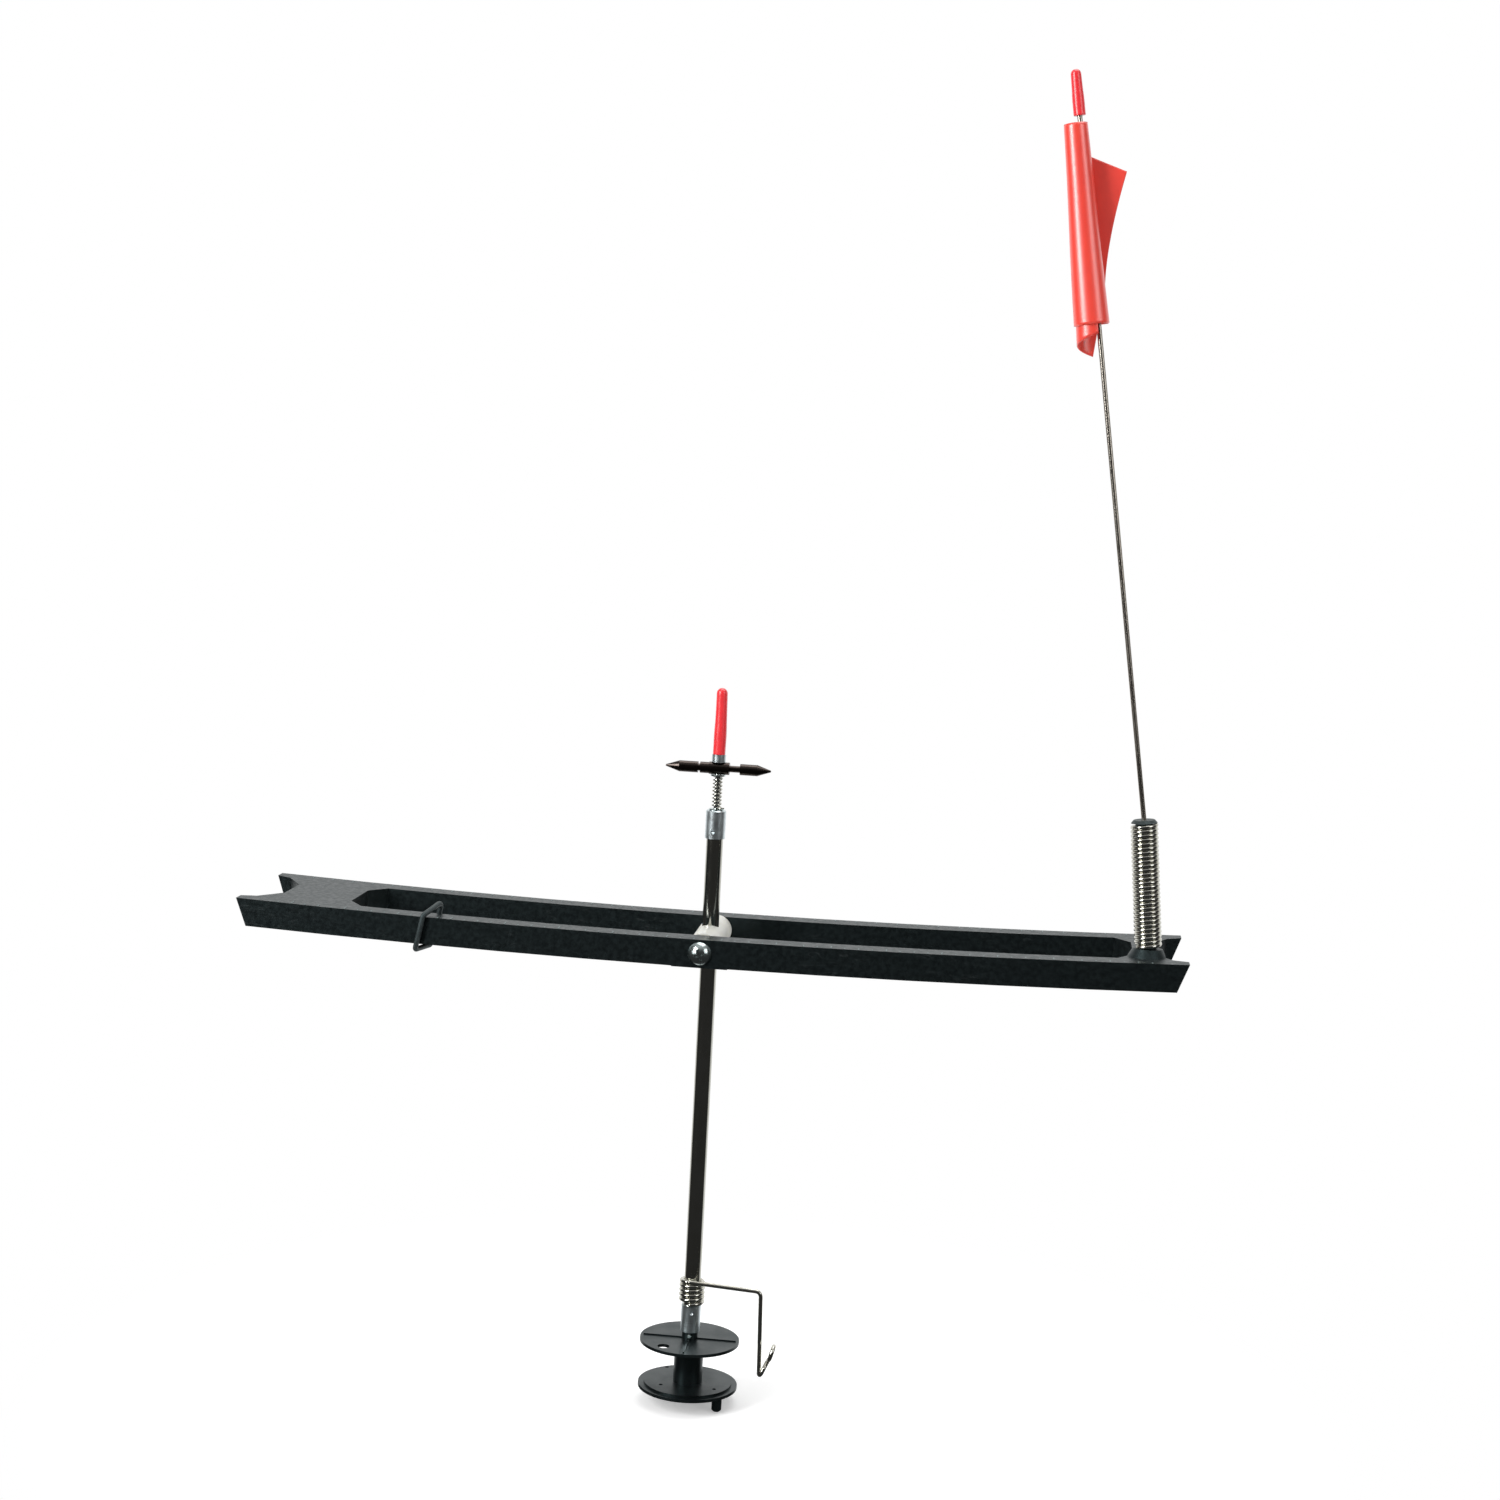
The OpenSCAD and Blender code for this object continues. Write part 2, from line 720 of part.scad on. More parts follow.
module crank_knob() {
    round = 0.8;
    color("#1d2224")
    rotate([0, 0, knob_turn])
        translate([knob_r, 0, base_foot]) {
            translate([0, 0, -knob_l + round]) cylinder(d = knob_d, h = knob_l - round);
            translate([0, 0, -knob_l]) cylinder(d1 = knob_d - 2 * round, d2 = knob_d, h = round);
            cylinder(d = knob_d / 2, h = flange_t / 2 + over - face_gap);
        }
}

// ---- Line guide -------------------------------------------------------------------------

module line_guide() {
    steps = 24;
    turns = coil(guide_r, guide_foot, guide_top, guide_turns, steps, 0.01, -90);
    start = [0, -guide_r, guide_top];
    elbow = [guide_reach, guide_out, guide_top - 1];
    hook = [guide_reach + 1.2, guide_out, hook_z];
    rise_to = [guide_reach + 5, guide_out, hook_z + 7];
    eye_lean = unit([0.2, 0, 1]);
    eye_mid = rise_to + eye_r * eye_lean + [0.4, 0, 2];
    eye_steps = 14;
    arm = concat(
        bend(start, elbow, hook, 3),
        bend(elbow, hook, rise_to, 2.6),
        [for (i = [0 : eye_steps]) let (a = 300 * i / eye_steps)
            eye_mid - eye_r * (cos(a) * eye_lean + sin(a) * [0, 1, 0]) + [0.5 * i / eye_steps, 0, 0]]);
    p = concat([for (i = [0 : len(turns) - 2]) turns[i]], arm);
    echo(line_guide_least_gap = coil_least_gap(turns, steps, guide_wire));
    color("#c2c4bf") wire(p, guide_wire, [0, 0, 1]);
}

// ---- Flag -------------------------------------------------------------------------------

module flag_spring() {
    steps = 8;
    half = spring_wire / 2 + face_gap;
    p = coil(spring_r, half, spring_l - half, spring_turns, steps, spring_wire);
    echo(flag_spring_least_gap = coil_least_gap(p, steps, spring_wire));
    color("#b9bcb8")
    translate([flag_x, flag_y, spring_z])
        rotate([0, -spring_lean, 0]) wire(p, spring_wire, [0, 0, 1]);
}

// Places what is drawn along +Z on the staff, which starts on top of the spring
module on_staff() {
    translate([staff_x, flag_y, staff_z]) rotate([0, -staff_lean, 0]) children();
}

module flag_plug() {
    color("#222526")
    difference() {
        union() {
            translate([staff_x, flag_y, staff_z])
                rotate([0, -spring_lean, 0]) {
                    cylinder(d1 = spring_d - 0.6, d2 = spring_d - 3, h = plug_cap_t);
                    translate([0, 0, -plug_l]) cylinder(d = peg_d, h = plug_l + over / 2);
                }
        }
        on_staff()
            translate([0, 0, -staff_in_plug])
                cylinder(d = staff_d + 2 * fix_gap, h = staff_in_plug + 4 * plug_cap_t);
    }
}

module flag_staff() {
    color("#8e8a80")
    on_staff()
        translate([0, 0, -staff_in_plug + face_gap])
            cylinder(d = staff_d, h = staff_l + staff_in_plug - face_gap, $fn = 32);
}

module flag_tip_cap() {
    color("#d92a35")
    on_staff()
        translate([0, 0, tip_s])
            soft_cap(tip_l, tip_d, tip_d - 0.8, staff_d, staff_l - tip_s + face_gap);
}

// The flag is one sheet rolled loosely round the staff: wound from the inside to the back of
// the roll, where its last part leaves as a loose corner. u runs along the sheet from its
// inner edge, and v up the roll.
wound = 0.86;
function roll_r(v) = roll_foot_r + (roll_top_r - roll_foot_r) * v;
function sheet_foot(u) = flag_foot_s - flag_tail * max(0, 1 - u / 0.34);
function sheet_top(u) = flag_top_s - 21 * max(0, (u - 0.72) / 0.28);
function sheet_point(u, v) =
    let (s = sheet_foot(u) + (sheet_top(u) - sheet_foot(u)) * v,
         h = (s - flag_foot_s) / flag_h,
         w = min(u / wound, 1),
         a = -60 - roll_turns * w,
         r = roll_r(h) - layer_gap * (1 - w) * roll_turns / 360 + 0.3,
         out = max(0, u - wound) / (1 - wound) * flap_reach * max(0.1, min(1, (h - 0.1) / 0.62)),
         shift = -1.1 - 1.8 * (1 - h))
    [r * cos(a) + shift + out, r * sin(a) - 0.12 * out, s];
// Outward direction of the sheet, from its two parameter lines
function sheet_side(u, v) =
    let (e = 0.004, du = sheet_point(min(u + e, 1), v) - sheet_point(max(u - e, 0), v),
         dv = sheet_point(u, min(v + e, 1)) - sheet_point(u, max(v - e, 0)))
    unit(cross(du, dv));

module flag() {
    nu = 44;
    nv = 9;
    row = nv + 1;
    shell = (nu + 1) * row;
    color("#e8421f")
    on_staff()
        polyhedron(
            points = [for (side = [0.5, -0.5], i = [0 : nu], j = [0 : nv])
                sheet_point(i / nu, j / nv) + side * sheet_t * sheet_side(i / nu, j / nv)],
            faces = concat(
                [for (i = [0 : nu - 1], j = [0 : nv - 1]) let (a = i * row + j, b = a + row)
                    each [[a, b + 1, b], [a, a + 1, b + 1],
                          [shell + a, shell + b, shell + b + 1],
                          [shell + a, shell + b + 1, shell + a + 1]]],
                [for (i = [0 : nu - 1]) let (a = i * row, b = a + row, c = a + nv, d = b + nv)
                    each [[a, b, shell + b], [a, shell + b, shell + a],
                          [c, shell + d, d], [c, shell + c, shell + d]]],
                [for (j = [0 : nv - 1]) let (a = j, c = nu * row + j)
                    each [[a, shell + a + 1, a + 1], [a, shell + a, shell + a + 1],
                          [c, c + 1, shell + c + 1], [c, shell + c + 1, shell + c]]]));
}

frame();
rubber_band();
flag_spring();
pivot_barrel();
pivot_screws();
tube();
top_bushing();
bottom_bushing();
lower_washer();
drag_spring();
upper_washer();
spindle();
trip_bar();
trip_collar();
spindle_cap();
spool();
spool_pin();
spool_base();
push_nut();
crank_knob();
line_guide();
flag_plug();
flag_staff();
flag();
flag_tip_cap();
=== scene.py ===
# Ice fishing tip-up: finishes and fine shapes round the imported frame. New pieces are worked
# out in millimetres and made in metres.
import math

import bpy
import numpy as np
from mathutils import Matrix, Vector

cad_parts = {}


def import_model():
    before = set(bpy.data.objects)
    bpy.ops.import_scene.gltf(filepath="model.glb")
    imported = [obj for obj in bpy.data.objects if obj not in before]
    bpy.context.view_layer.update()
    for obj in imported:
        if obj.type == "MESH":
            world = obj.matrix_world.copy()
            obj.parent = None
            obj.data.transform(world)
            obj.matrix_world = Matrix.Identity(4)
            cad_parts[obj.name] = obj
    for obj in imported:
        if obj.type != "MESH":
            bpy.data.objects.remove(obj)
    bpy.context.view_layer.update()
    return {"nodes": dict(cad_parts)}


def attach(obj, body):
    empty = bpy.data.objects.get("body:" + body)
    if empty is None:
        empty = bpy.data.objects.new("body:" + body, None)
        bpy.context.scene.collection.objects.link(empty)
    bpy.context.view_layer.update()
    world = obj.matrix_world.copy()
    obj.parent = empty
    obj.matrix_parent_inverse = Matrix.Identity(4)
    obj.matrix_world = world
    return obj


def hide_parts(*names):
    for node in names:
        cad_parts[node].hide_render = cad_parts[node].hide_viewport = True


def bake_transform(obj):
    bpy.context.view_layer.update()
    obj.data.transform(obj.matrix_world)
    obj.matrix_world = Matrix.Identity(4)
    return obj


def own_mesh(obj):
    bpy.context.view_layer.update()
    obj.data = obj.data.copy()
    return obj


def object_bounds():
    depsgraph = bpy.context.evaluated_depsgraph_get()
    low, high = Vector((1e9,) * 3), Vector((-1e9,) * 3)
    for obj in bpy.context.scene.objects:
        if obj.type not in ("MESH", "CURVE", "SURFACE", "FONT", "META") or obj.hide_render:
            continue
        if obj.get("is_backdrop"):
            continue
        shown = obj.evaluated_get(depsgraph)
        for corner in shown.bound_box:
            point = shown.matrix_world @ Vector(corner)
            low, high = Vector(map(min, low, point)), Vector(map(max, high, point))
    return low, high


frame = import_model()
nodes = frame["nodes"]
scene = bpy.context.scene
MM = 0.001


# ---- Camera -----------------------------------------------------------------------------

CAMERA_PLACE = (0.13880, -1.20073, 0.23349)
CAMERA_HEADING, CAMERA_TILT, CAMERA_ROLL = 5.9093, 83.6063, 2.9705
CAMERA_LENS = 61.924


def make_camera():
    """Camera in front of the pivot, a little above the frame and to its right. From looking
    straight down it is rolled about its line of sight, tilted up about X and turned about Z."""
    data = bpy.data.cameras.new("camera")
    data.sensor_width = 36.0
    data.lens = CAMERA_LENS
    data.clip_start = 0.01
    cam = bpy.data.objects.new("camera", data)
    roll = Matrix.Rotation(math.radians(CAMERA_ROLL), 4, "Z")
    tilt = Matrix.Rotation(math.radians(CAMERA_TILT), 4, "X")
    heading = Matrix.Rotation(math.radians(CAMERA_HEADING), 4, "Z")
    cam.matrix_world = Matrix.Translation(CAMERA_PLACE) @ heading @ tilt @ roll
    scene.collection.objects.link(cam)
    scene.camera = cam


make_camera()
scene.view_settings.view_transform = "Standard"


# ---- Mesh makers --------------------------------------------------------------------------

def mesh_piece(name, points, faces, material, body, smooth=True, uv=None):
    """A mesh object at the origin from an array of points and an array or list of faces."""
    mesh = bpy.data.meshes.new(name)
    faces = faces if isinstance(faces, list) else faces.tolist()
    mesh.from_pydata(np.asarray(points, float).tolist(), [], faces)
    mesh.polygons.foreach_set("use_smooth", np.full(len(mesh.polygons), smooth))
    if uv is not None:
        layer = mesh.uv_layers.new(name="UVMap")
        loops = np.empty(len(mesh.loops), int)
        mesh.loops.foreach_get("vertex_index", loops)
        layer.data.foreach_set("uv", np.asarray(uv, float)[loops].ravel())
    mesh.materials.append(material)
    mesh.update()
    obj = bpy.data.objects.new(name, mesh)
    scene.collection.objects.link(obj)
    if body:
        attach(obj, body)
    return obj


def grid_faces(rows, cols, close_cols):
    """Quads of a rows x cols grid of points, row by row; columns may wrap round."""
    r = np.arange(rows - 1)[:, None]
    c = np.arange(cols if close_cols else cols - 1)[None, :]
    n = (c + 1) % cols
    a, b = r * cols + c, r * cols + n
    d, e = (r + 1) * cols + c, (r + 1) * cols + n
    return np.stack([a, b, e, d], -1).reshape(-1, 4)


def unit(v):
    return v / np.linalg.norm(v, axis=-1, keepdims=True)


def path_sides(path):
    """Side vectors carried along a path without twist (double reflection)."""
    tangent = unit(np.gradient(path, axis=0))
    first = np.cross(tangent[0], [0.31, 0.22, 0.93])
    side = [first / np.linalg.norm(first)]
    for i in range(len(path) - 1):
        v = path[i + 1] - path[i]
        c = v @ v
        r = side[-1] - (2 / c) * (v @ side[-1]) * v
        t = tangent[i] - (2 / c) * (v @ tangent[i]) * v
        w = tangent[i + 1] - t
        k = w @ w
        side.append(r - (2 / k) * (w @ r) * w if k > 1e-18 else r)
    return np.array(side), tangent


def sweep(name, path, radius, material, body, sides=14):
    """Round wire: a circle of the given radius carried along a path, with domed ends.
    The radius may change from point to point; the dome is three shrinking rings."""
    path = np.asarray(path, float)
    radius = np.broadcast_to(radius, len(path)).astype(float)
    side, tangent = path_sides(path)
    dome = np.radians([80, 55, 28])
    head = path[-1] + tangent[-1] * np.sin(np.radians([28, 55, 80]))[:, None] * radius[-1]
    foot = path[0] - tangent[0] * np.sin(dome)[:, None] * radius[0]
    path = np.concatenate([foot, path, head])
    radius = np.concatenate([np.cos(dome) * radius[0], radius,
                             np.cos(dome[::-1]) * radius[-1]])
    side = np.concatenate([np.repeat(side[:1], 3, 0), side, np.repeat(side[-1:], 3, 0)])
    tangent = np.concatenate([np.repeat(tangent[:1], 3, 0), tangent,
                              np.repeat(tangent[-1:], 3, 0)])
    a = np.linspace(0, 2 * np.pi, sides, endpoint=False)
    other = np.cross(tangent, side)
    points = (path[:, None] + radius[:, None, None]
              * (np.cos(a)[None, :, None] * side[:, None]
                 + np.sin(a)[None, :, None] * other[:, None])).reshape(-1, 3)
    n = len(path)
    faces = grid_faces(n, sides, True).tolist()
    faces.append(list(range(sides))[::-1])
    faces.append(list(range((n - 1) * sides, n * sides)))
    length = np.concatenate([[0], np.cumsum(np.linalg.norm(np.diff(path, axis=0), axis=1))])
    uv = np.stack([np.repeat(length * 100, sides), np.tile(a / (2 * np.pi), n)], 1)
    return mesh_piece(name, points, faces, material, body, uv=uv)


def ring_sweep(name, loop, radius, material, body, sides=16):
    """A closed loop of round cord: a circle carried round a closed path."""
    loop = np.asarray(loop, float)
    tangent = unit(np.roll(loop, -1, 0) - np.roll(loop, 1, 0))
    side = unit(np.array([1.0, 0, 0]) - tangent * tangent[:, :1])
    other = np.cross(tangent, side)
    a = np.linspace(0, 2 * np.pi, sides, endpoint=False)
    points = (loop[:, None] + radius * (np.cos(a)[None, :, None] * side[:, None]
              + np.sin(a)[None, :, None] * other[:, None])).reshape(-1, 3)
    faces = grid_faces(len(loop) + 1, sides, True) % (len(loop) * sides)
    return mesh_piece(name, points, faces, material, body)


def revolve(name, profile, origin, axis_turn, material, body, steps=64, wobble=None):
    """A turned shape: a profile of (radius, height) carried round the Z axis, then turned by
    a 3x3 matrix and put at an origin. The profile starts and ends on the axis. wobble takes
    the points' heights and gives a sideways shift for each, for a soft, slightly bent piece."""
    profile = np.asarray(profile, float)
    a = np.linspace(0, 2 * np.pi, steps, endpoint=False)
    r, h = profile[1:-1, 0], profile[1:-1, 1]
    ring = np.stack([r[:, None] * np.cos(a), r[:, None] * np.sin(a),
                     np.repeat(h[:, None], steps, 1)], -1).reshape(-1, 3)
    points = np.concatenate([ring, [[0, 0, profile[0, 1]], [0, 0, profile[-1, 1]]]])
    if wobble:
        points[:, :2] += wobble(points[:, 2])
    points = points @ np.asarray(axis_turn, float).T + np.asarray(origin, float)
    n = len(r)
    faces = grid_faces(n, steps, True).tolist()
    c = np.arange(steps)
    d = (c + 1) % steps
    faces += np.stack([np.full(steps, n * steps), d, c], 1).tolist()
    faces += np.stack([np.full(steps, n * steps + 1), (n - 1) * steps + c,
                       (n - 1) * steps + d], 1).tolist()
    return mesh_piece(name, points, faces, material, body)


def lean(degrees):
    """Turn about Y that leans +Z towards -X."""
    c, s = math.cos(math.radians(degrees)), math.sin(math.radians(degrees))
    return np.array([[c, 0, -s], [0, 1, 0], [s, 0, c]])


def bezier(a, c, b, count):
    """Points of a rounded corner between a and b with its control at c, ends left out."""
    t = np.linspace(0, 1, count + 2)[1:-1, None]
    return (1 - t) ** 2 * np.array(a) + 2 * t * (1 - t) * np.array(c) + t * t * np.array(b)


def corner(a, c, b, reach, count=7):
    """A bent wire's corner at c, rounded over a length on both sides."""
    a, c, b = (np.asarray(p, float) for p in (a, c, b))
    p, q = c + reach * unit(a - c), c + reach * unit(b - c)
    return np.concatenate([[p], bezier(p, c, q, count), [q]])


# ---- Shader node groups -------------------------------------------------------------------

def new_group(name, inputs, outputs):
    """A shader node group with named sockets: inputs (name, kind, default), outputs
    (name, kind)."""
    tree = bpy.data.node_groups.new(name, "ShaderNodeTree")
    for label, kind, default in inputs:
        socket = tree.interface.new_socket(label, in_out="INPUT", socket_type=kind)
        socket.default_value = default
    for label, kind in outputs:
        tree.interface.new_socket(label, in_out="OUTPUT", socket_type=kind)
    return tree, tree.nodes.new("NodeGroupInput"), tree.nodes.new("NodeGroupOutput")


def node(tree, kind, links=None, **values):
    """Adds a node; values set its properties or sockets, links feed its sockets."""
    made = tree.nodes.new(kind)
    for key, value in values.items():
        if hasattr(made, key):
            setattr(made, key, value)
        else:
            made.inputs[key.replace("_", " ")].default_value = value
    for socket, source in (links or {}).items():
        tree.links.new(source, made.inputs[socket])
    return made


def ramp(tree, source, low, high, smooth=True):
    """Maps low..high of a value to 0..1."""
    made = node(tree, "ShaderNodeMapRange",
                interpolation_type="SMOOTHSTEP" if smooth else "LINEAR")
    made.inputs["From Min"].default_value = low
    made.inputs["From Max"].default_value = high
    tree.links.new(source, made.inputs["Value"])
    return made.outputs["Result"]


def math_node(tree, operation, a, b):
    made = tree.nodes.new("ShaderNodeMath")
    made.operation = operation
    for i, x in enumerate((a, b)):
        if isinstance(x, (int, float)):
            made.inputs[i].default_value = x
        else:
            tree.links.new(x, made.inputs[i])
    return made.outputs[0]


def grain_group():
    """Fine grain: two scales of noise. Mask is the slow patches, Height the fine bumps."""
    tree, start, end = new_group(
        "fine_grain",
        [("Fine", "NodeSocketFloat", 1800.0), ("Broad", "NodeSocketFloat", 60.0),
         ("Sharpness", "NodeSocketFloat", 0.12)],
        [("Mask", "NodeSocketFloat"), ("Height", "NodeSocketFloat")])
    place = node(tree, "ShaderNodeTexCoord")
    broad = node(tree, "ShaderNodeTexNoise", {"Vector": place.outputs["Object"],
                 "Scale": start.outputs["Broad"]}, Detail=5.0, Roughness=0.62)
    fine = node(tree, "ShaderNodeTexNoise", {"Vector": place.outputs["Object"],
                "Scale": start.outputs["Fine"]}, Detail=3.0, Roughness=0.6)
    low = math_node(tree, "SUBTRACT", 0.5, start.outputs["Sharpness"])
    high = math_node(tree, "ADD", 0.5, start.outputs["Sharpness"])
    edge = node(tree, "ShaderNodeMapRange", {"Value": broad.outputs["Fac"],
                "From Min": low, "From Max": high}, interpolation_type="SMOOTHSTEP")
    tree.links.new(edge.outputs["Result"], end.inputs["Mask"])
    tree.links.new(fine.outputs["Fac"], end.inputs["Height"])
    return tree


def scratch_group():
    """Sparse thin scratches: noise stretched along one direction and cut to its crests.
    Mask is 1 in a scratch."""
    tree, start, end = new_group(
        "scratches",
        [("Stretch", "NodeSocketVector", (1.0, 1.0, 1.0)),
         ("Amount", "NodeSocketFloat", 0.5)],
        [("Mask", "NodeSocketFloat")])
    place = node(tree, "ShaderNodeTexCoord")
    lines = node(tree, "ShaderNodeVectorMath", {0: place.outputs["Object"],
                 1: start.outputs["Stretch"]}, operation="MULTIPLY")
    noise = node(tree, "ShaderNodeTexNoise", {"Vector": lines.outputs[0]}, Scale=40.0,
                 Detail=2.0, Distortion=0.6)
    where = node(tree, "ShaderNodeTexNoise", {"Vector": place.outputs["Object"]},
                 Scale=23.0, Detail=1.0)
    crest = math_node(tree, "ABSOLUTE", math_node(tree, "SUBTRACT",
                      noise.outputs["Fac"], 0.5), 0)
    thin = node(tree, "ShaderNodeMapRange", {"Value": crest}, interpolation_type="SMOOTHSTEP")
    thin.inputs["From Min"].default_value = 0.012
    thin.inputs["From Max"].default_value = 0.0
    patch = ramp(tree, where.outputs["Fac"], 0.48, 0.66)
    mask = math_node(tree, "MULTIPLY", thin.outputs["Result"], patch)
    mask = math_node(tree, "MULTIPLY", mask, start.outputs["Amount"])
    tree.links.new(mask, end.inputs["Mask"])
    return tree


GRAIN = grain_group()
SCRATCH = scratch_group()


def place_group(tree, group, **values):
    made = tree.nodes.new("ShaderNodeGroup")
    made.node_tree = group
    for key, value in values.items():
        made.inputs[key].default_value = value
    return made


def mix_color(tree, factor, a, b):
    """Colour a where the factor is 0 and b where it is 1; each a colour or a socket."""
    made = tree.nodes.new("ShaderNodeMix")
    made.data_type = "RGBA"
    for socket, value in ((made.inputs[0], factor), (made.inputs[6], a), (made.inputs[7], b)):
        if hasattr(value, "is_output"):
            tree.links.new(value, socket)
        elif isinstance(value, (tuple, list)):
            socket.default_value = (*value[:3], 1.0)
        else:
            socket.default_value = value
    return made.outputs[2]


def blank(name):
    """A material with just its output and Principled BSDF."""
    made = bpy.data.materials.new(name)
    made.use_nodes = True
    tree = made.node_tree
    shader = tree.nodes["Principled BSDF"]
    return made, tree, shader


def bump(tree, shader, height, strength, distance):
    made = node(tree, "ShaderNodeBump", {"Height": height})
    made.inputs["Strength"].default_value = strength
    made.inputs["Distance"].default_value = distance
    tree.links.new(made.outputs["Normal"], shader.inputs["Normal"])


def rough_patches(tree, shader, patches, rough):
    """Roughness goes from its first value to its second with the slow patches."""
    made = node(tree, "ShaderNodeMapRange", {"Value": patches.outputs["Mask"]})
    made.inputs["To Min"].default_value, made.inputs["To Max"].default_value = rough
    tree.links.new(made.outputs["Result"], shader.inputs["Roughness"])


def set_sockets(shader, **values):
    for key, value in values.items():
        shader.inputs[key].default_value = value


def plastic(name, dark, pale, rough, fine=1500.0, broad=70.0, grain=0.10, scuffs=0.5,
            stretch=(1.0, 7.0, 7.0), tint=(0.70, 0.97, 1.0)):
    """Moulded plastic: two close shades in slow patches, fine grain and a few scuffs."""
    made, tree, shader = blank(name)
    patches = place_group(tree, GRAIN, Fine=fine, Broad=broad, Sharpness=0.16)
    lines = place_group(tree, SCRATCH, Stretch=stretch, Amount=scuffs)
    shade = mix_color(tree, patches.outputs["Mask"], dark, pale)
    shade = mix_color(tree, lines.outputs["Mask"], shade, tuple(0.035 + p for p in pale))
    tree.links.new(shade, shader.inputs["Base Color"])
    rough_patches(tree, shader, patches, rough)
    bump(tree, shader, patches.outputs["Height"], grain, 0.00012)
    set_sockets(shader, IOR=1.52, **{"Specular Tint": (*tint, 1.0)})
    return made


def metal(name, color, dull, rough, fine=2600.0, broad=110.0, grain=0.05, scuffs=0.3,
          stretch=(6.0, 6.0, 0.6), tarnish=0.35):
    """Plated or turned metal: a clean shade and a duller one in patches, drawn lines."""
    made, tree, shader = blank(name)
    patches = place_group(tree, GRAIN, Fine=fine, Broad=broad, Sharpness=0.22)
    lines = place_group(tree, SCRATCH, Stretch=stretch, Amount=scuffs)
    weak = math_node(tree, "MULTIPLY", patches.outputs["Mask"], tarnish)
    shade = mix_color(tree, weak, color, dull)
    shade = mix_color(tree, lines.outputs["Mask"], shade, tuple(c * 0.55 for c in dull))
    tree.links.new(shade, shader.inputs["Base Color"])
    rough_patches(tree, shader, patches, rough)
    bump(tree, shader, patches.outputs["Height"], grain, 0.00006)
    set_sockets(shader, Metallic=1.0)
    return made


def vinyl(name, color, deep, rough, see_through=0.0, coat=0.3, gloss=1.5):
    """Soft vinyl: slow shade changes, a waxy gloss and faint ripples."""
    made, tree, shader = blank(name)
    patches = place_group(tree, GRAIN, Fine=420.0, Broad=45.0, Sharpness=0.3)
    shade = mix_color(tree, patches.outputs["Mask"], color, deep)
    tree.links.new(shade, shader.inputs["Base Color"])
    rough_patches(tree, shader, patches, rough)
    bump(tree, shader, patches.outputs["Height"], 0.06, 0.0003)
    set_sockets(shader, IOR=1.5, **{"Coat Weight": coat, "Coat Roughness": 0.36, "Coat IOR": gloss,
              "Subsurface Weight": see_through, "Subsurface Scale": 0.002,
              "Subsurface Radius": (1.0, 0.25, 0.12)})
    return made


frame_plastic = plastic("black_frame_plastic", (0.0024, 0.0028, 0.0032), (0.0042, 0.0052, 0.0056),
                        (0.34, 0.46), fine=1300.0, broad=420.0, grain=0.35, scuffs=0.3)
spool_plastic = plastic("black_spool_plastic", (0.003, 0.0036, 0.004), (0.005, 0.0064, 0.0068),
                        (0.30, 0.42), fine=1900.0, broad=60.0, grain=0.08, scuffs=0.3,
                        stretch=(3.0, 3.0, 3.0))
# Scale marks: raised strokes of the frame's black plastic. Their light grey-teal colour is a
# painted highlight.
tick_painted_highlight = plastic("scale_marks", (0.12, 0.15, 0.15), (0.2, 0.24, 0.24), (0.4, 0.6),
                     fine=2500.0, broad=300.0, grain=0.1, scuffs=0.8)
nylon = plastic("natural_nylon", (0.66, 0.66, 0.60), (0.74, 0.74, 0.69), (0.32, 0.45),
                fine=900.0, broad=90.0, grain=0.06, scuffs=0.0, tint=(1.0, 1.0, 1.0))
set_sockets(nylon.node_tree.nodes["Principled BSDF"], **{"Subsurface Weight": 0.25,
          "Subsurface Scale": 0.002, "Subsurface Radius": (1.0, 0.9, 0.7)})
rubber = plastic("black_rubber", (0.016, 0.018, 0.019), (0.03, 0.034, 0.035), (0.42, 0.6),
                 fine=2200.0, broad=140.0, grain=0.15, scuffs=0.2)
tube_steel = metal("nickel_tube", (0.60, 0.60, 0.55), (0.36, 0.35, 0.28), (0.07, 0.16),
                   broad=90.0, stretch=(5.0, 5.0, 0.4), tarnish=0.5)
bushing_alloy = metal("turned_aluminium", (0.80, 0.88, 0.90), (0.58, 0.66, 0.69),
                      (0.30, 0.44), fine=3200.0, broad=260.0, grain=0.18,
                      stretch=(0.6, 0.6, 12.0), scuffs=0.5)
spindle_steel = metal("ground_steel", (0.62, 0.63, 0.62), (0.4, 0.4, 0.38), (0.12, 0.22))
zinc = metal("zinc_plate", (0.66, 0.75, 0.74), (0.42, 0.50, 0.50), (0.16, 0.30),
             fine=1500.0, broad=320.0, grain=0.12, stretch=(2.0, 2.0, 2.0), tarnish=0.6)
spring_steel = metal("nickel_spring_wire", (0.72, 0.72, 0.66), (0.42, 0.38, 0.30),
                     (0.12, 0.24), fine=2600.0, broad=400.0, tarnish=0.5)
dark_plate = metal("dark_plating", (0.075, 0.062, 0.055), (0.03, 0.026, 0.024), (0.14, 0.24),
                   fine=2400.0, broad=200.0, grain=0.08, stretch=(0.5, 8.0, 8.0), scuffs=0.6)
staff_steel = metal("bronze_grey_wire", (0.52, 0.48, 0.42), (0.28, 0.25, 0.21), (0.2, 0.32),
                    broad=60.0)
red_vinyl = vinyl("dipped_red_vinyl", (0.86, 0.020, 0.030), (0.74, 0.012, 0.020),
                  (0.24, 0.36), see_through=0.12, coat=0.7, gloss=1.7)
flag_vinyl = vinyl("orange_red_sheet", (0.93, 0.035, 0.008), (0.86, 0.022, 0.004),
                   (0.34, 0.44), see_through=0.12, coat=1.0, gloss=2.1)
